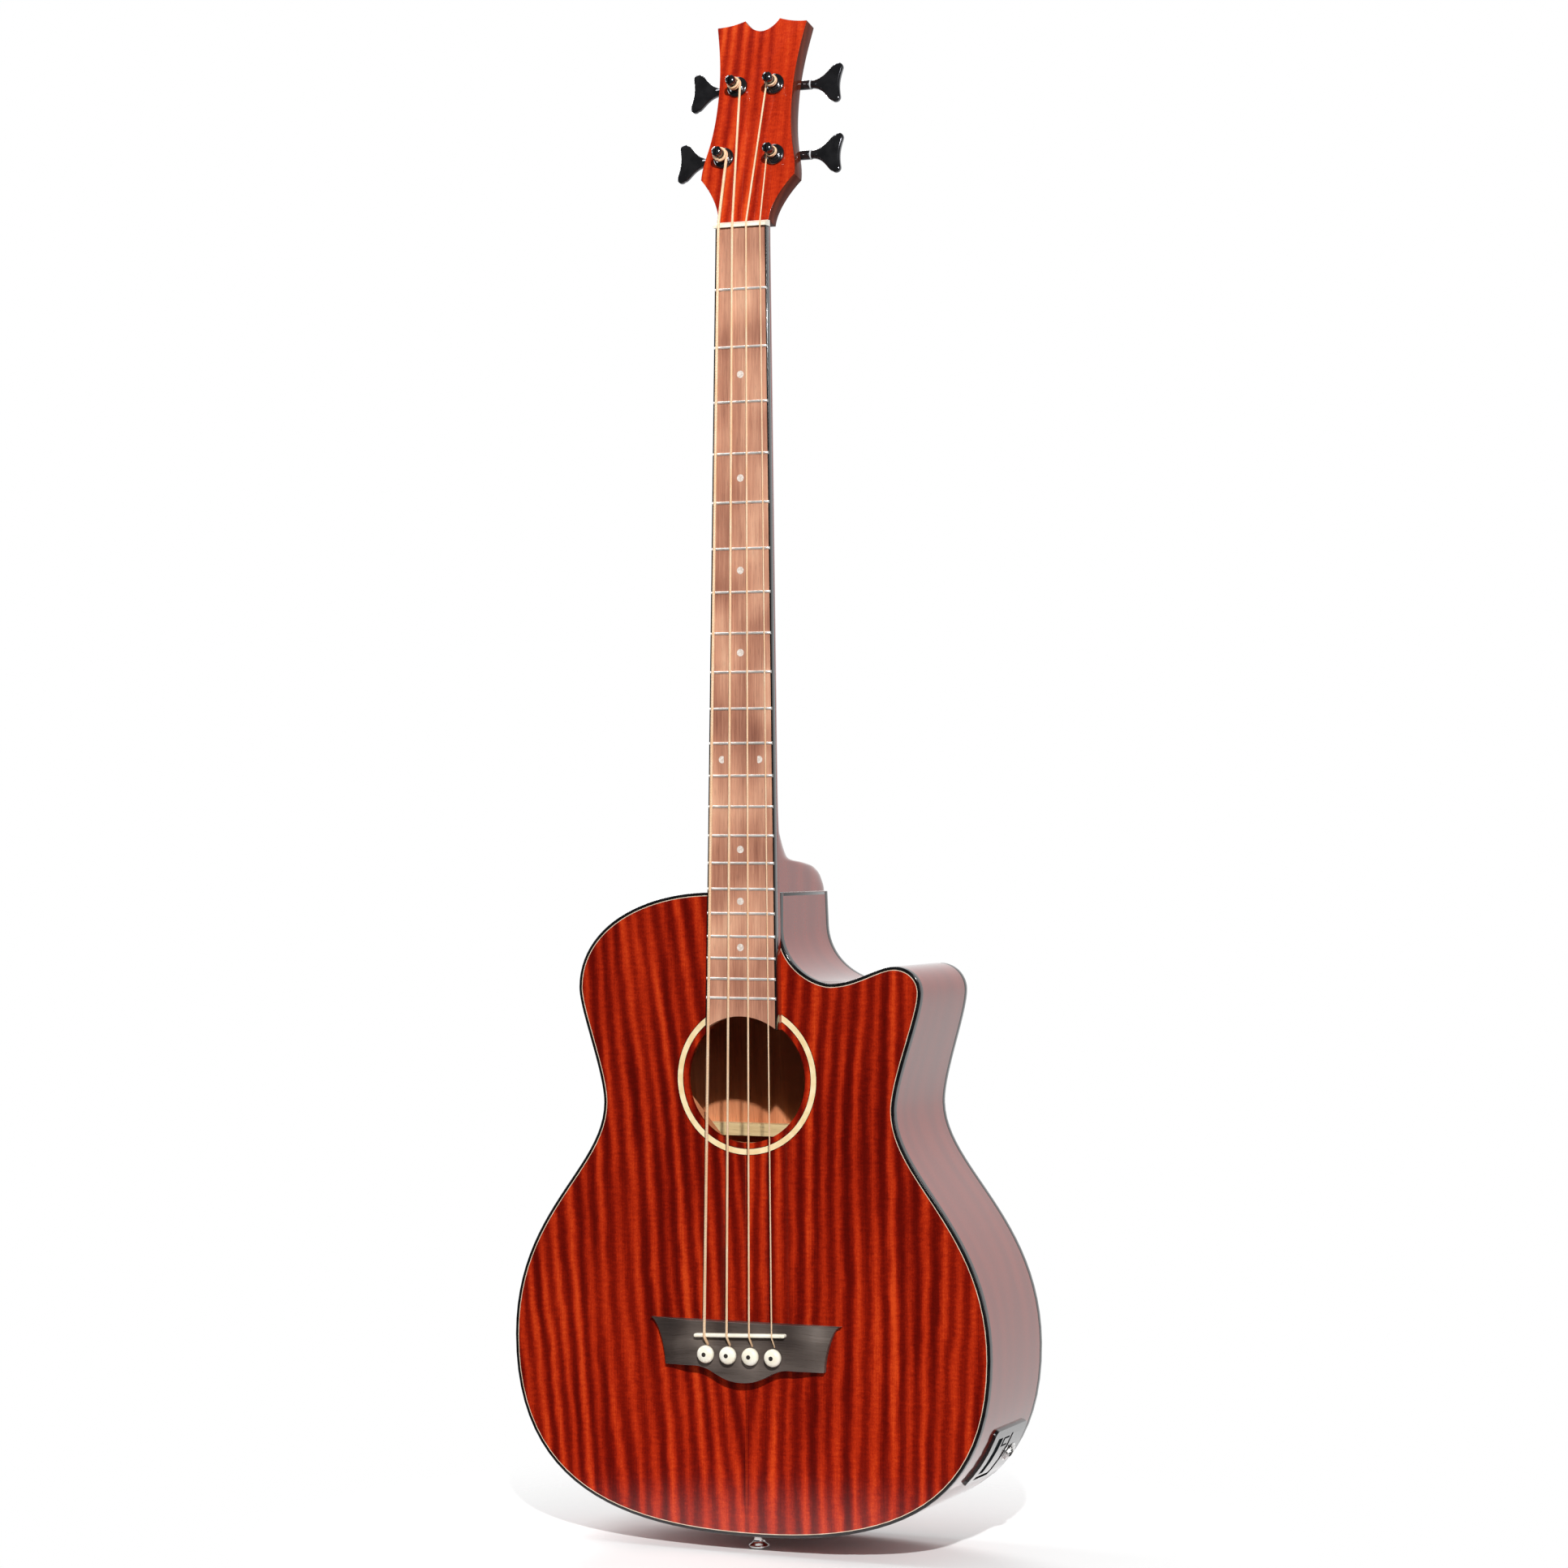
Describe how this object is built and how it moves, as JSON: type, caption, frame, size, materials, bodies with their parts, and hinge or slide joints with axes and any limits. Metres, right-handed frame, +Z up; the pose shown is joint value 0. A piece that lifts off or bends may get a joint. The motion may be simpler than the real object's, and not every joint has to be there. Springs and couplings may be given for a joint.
{
  "type": "acoustic bass guitar",
  "caption": "Acoustic-electric bass guitar with a single-cutaway hollow body, fretted neck, worm-geared tuners, pinned bridge and side jack panel.",
  "frame": {"origin": "centre line of the headstock, at the soundboard's plane, at the height where a yoke hanger catches the headstock's flare", "axes": "+Z up along the neck towards the headstock's tip, -Y the way the soundboard and strings face, +X towards the cutaway side"},
  "size_m": [0.409, 0.1466, 1.2172],
  "materials": {
    "striped_wood": "high gloss, with ribbon stripes along the neck's direction",
    "head_wood": "gloss",
    "pale_wood": "raw, matt",
    "board_wood": "oiled, satin",
    "bridge_wood": "oiled, satin",
    "black_plastic": "gloss",
    "cream_inlay": "gloss",
    "bone": "satin",
    "nickel": "polished",
    "bronze": "wound, satin",
    "black_chrome": "black gloss",
    "chrome": "polished"
  },
  "bodies": {
    "guitar": {"soundboard": "striped_wood", "rosette": "cream_inlay", "rim": "striped_wood", "back_plate": "striped_wood", "top_binding": "black_plastic", "back_binding": "black_plastic", "neck_block": "pale_wood", "tail_block": "pale_wood", "soundboard_bracing": "pale_wood", "back_bracing": "pale_wood", "neck": "head_wood", "fretboard": "board_wood", "nut": "bone", "fret_01": "nickel", "fret_02": "nickel", "fret_03": "nickel", "fret_04": "nickel", "fret_05": "nickel", "fret_06": "nickel", "fret_07": "nickel", "fret_08": "nickel", "fret_09": "nickel", "fret_10": "nickel", "fret_11": "nickel", "fret_12": "nickel", "fret_13": "nickel", "fret_14": "nickel", "fret_15": "nickel", "fret_16": "nickel", "fret_17": "nickel", "fret_18": "nickel", "fret_19": "nickel", "fret_20": "nickel", "fret_21": "nickel", "bridge": "bridge_wood", "saddle": "bone", "bridge_pin_1": "bone", "bridge_pin_2": "bone", "bridge_pin_3": "bone", "bridge_pin_4": "bone", "string_1": "bronze", "string_2": "bronze", "string_3": "bronze", "string_4": "bronze", "tuner_1_housing": "black_chrome", "tuner_2_housing": "black_chrome", "tuner_3_housing": "black_chrome", "tuner_4_housing": "black_chrome", "strap_button": "chrome", "jack_panel": "black_plastic", "output_jack": "chrome"},
    "tuner_1_key_body": {"tuner_1_key": "black_chrome"},
    "tuner_1_post_body": {"tuner_1_post": "black_chrome"},
    "tuner_2_key_body": {"tuner_2_key": "black_chrome"},
    "tuner_2_post_body": {"tuner_2_post": "black_chrome"},
    "tuner_3_key_body": {"tuner_3_key": "black_chrome"},
    "tuner_3_post_body": {"tuner_3_post": "black_chrome"},
    "tuner_4_key_body": {"tuner_4_key": "black_chrome"},
    "tuner_4_post_body": {"tuner_4_post": "black_chrome"},
    "battery_door_body": {"battery_door": "black_plastic"}
  },
  "joints": [
    {"name": "tuner_1_key_turn", "type": "hinge", "parent": "guitar", "child": "tuner_1_key_body", "pos_m": [-0.0217, 0.02721, 0.03287], "axis": [1, 0, 0], "continuous": true},
    {"name": "tuner_1_post_spin", "type": "hinge", "parent": "guitar", "child": "tuner_1_post_body", "pos_m": [-0.0217, 0.00574, 0.03101], "axis": [0, 0.9744, -0.225], "continuous": true},
    {"name": "tuner_2_key_turn", "type": "hinge", "parent": "guitar", "child": "tuner_2_key_body", "pos_m": [-0.0159, 0.04068, 0.09124], "axis": [1, 0, 0], "continuous": true},
    {"name": "tuner_2_post_spin", "type": "hinge", "parent": "guitar", "child": "tuner_2_post_body", "pos_m": [-0.0159, 0.01921, 0.08937], "axis": [0, 0.9744, -0.225], "continuous": true},
    {"name": "tuner_3_key_turn", "type": "hinge", "parent": "guitar", "child": "tuner_3_key_body", "pos_m": [0.0159, 0.04068, 0.09124], "axis": [1, 0, 0], "continuous": true},
    {"name": "tuner_3_post_spin", "type": "hinge", "parent": "guitar", "child": "tuner_3_post_body", "pos_m": [0.0159, 0.01921, 0.08937], "axis": [0, 0.9744, -0.225], "continuous": true},
    {"name": "tuner_4_key_turn", "type": "hinge", "parent": "guitar", "child": "tuner_4_key_body", "pos_m": [0.0217, 0.02721, 0.03287], "axis": [1, 0, 0], "continuous": true},
    {"name": "tuner_4_post_spin", "type": "hinge", "parent": "guitar", "child": "tuner_4_post_body", "pos_m": [0.0217, 0.00574, 0.03101], "axis": [0, 0.9744, -0.225], "continuous": true},
    {"name": "battery_door_hinge", "type": "hinge", "parent": "guitar", "child": "battery_door_body", "pos_m": [0.17258, 0.063, -1.00784], "axis": [0, 1, 0], "range_deg": [0, 100]}
  ],
  "couplings": [
    {"joint": "tuner_1_post_spin", "follows": "tuner_1_key_turn", "ratio": 0.0625},
    {"joint": "tuner_2_post_spin", "follows": "tuner_2_key_turn", "ratio": 0.0625},
    {"joint": "tuner_3_post_spin", "follows": "tuner_3_key_turn", "ratio": -0.0625},
    {"joint": "tuner_4_post_spin", "follows": "tuner_4_key_turn", "ratio": -0.0625}
  ]
}
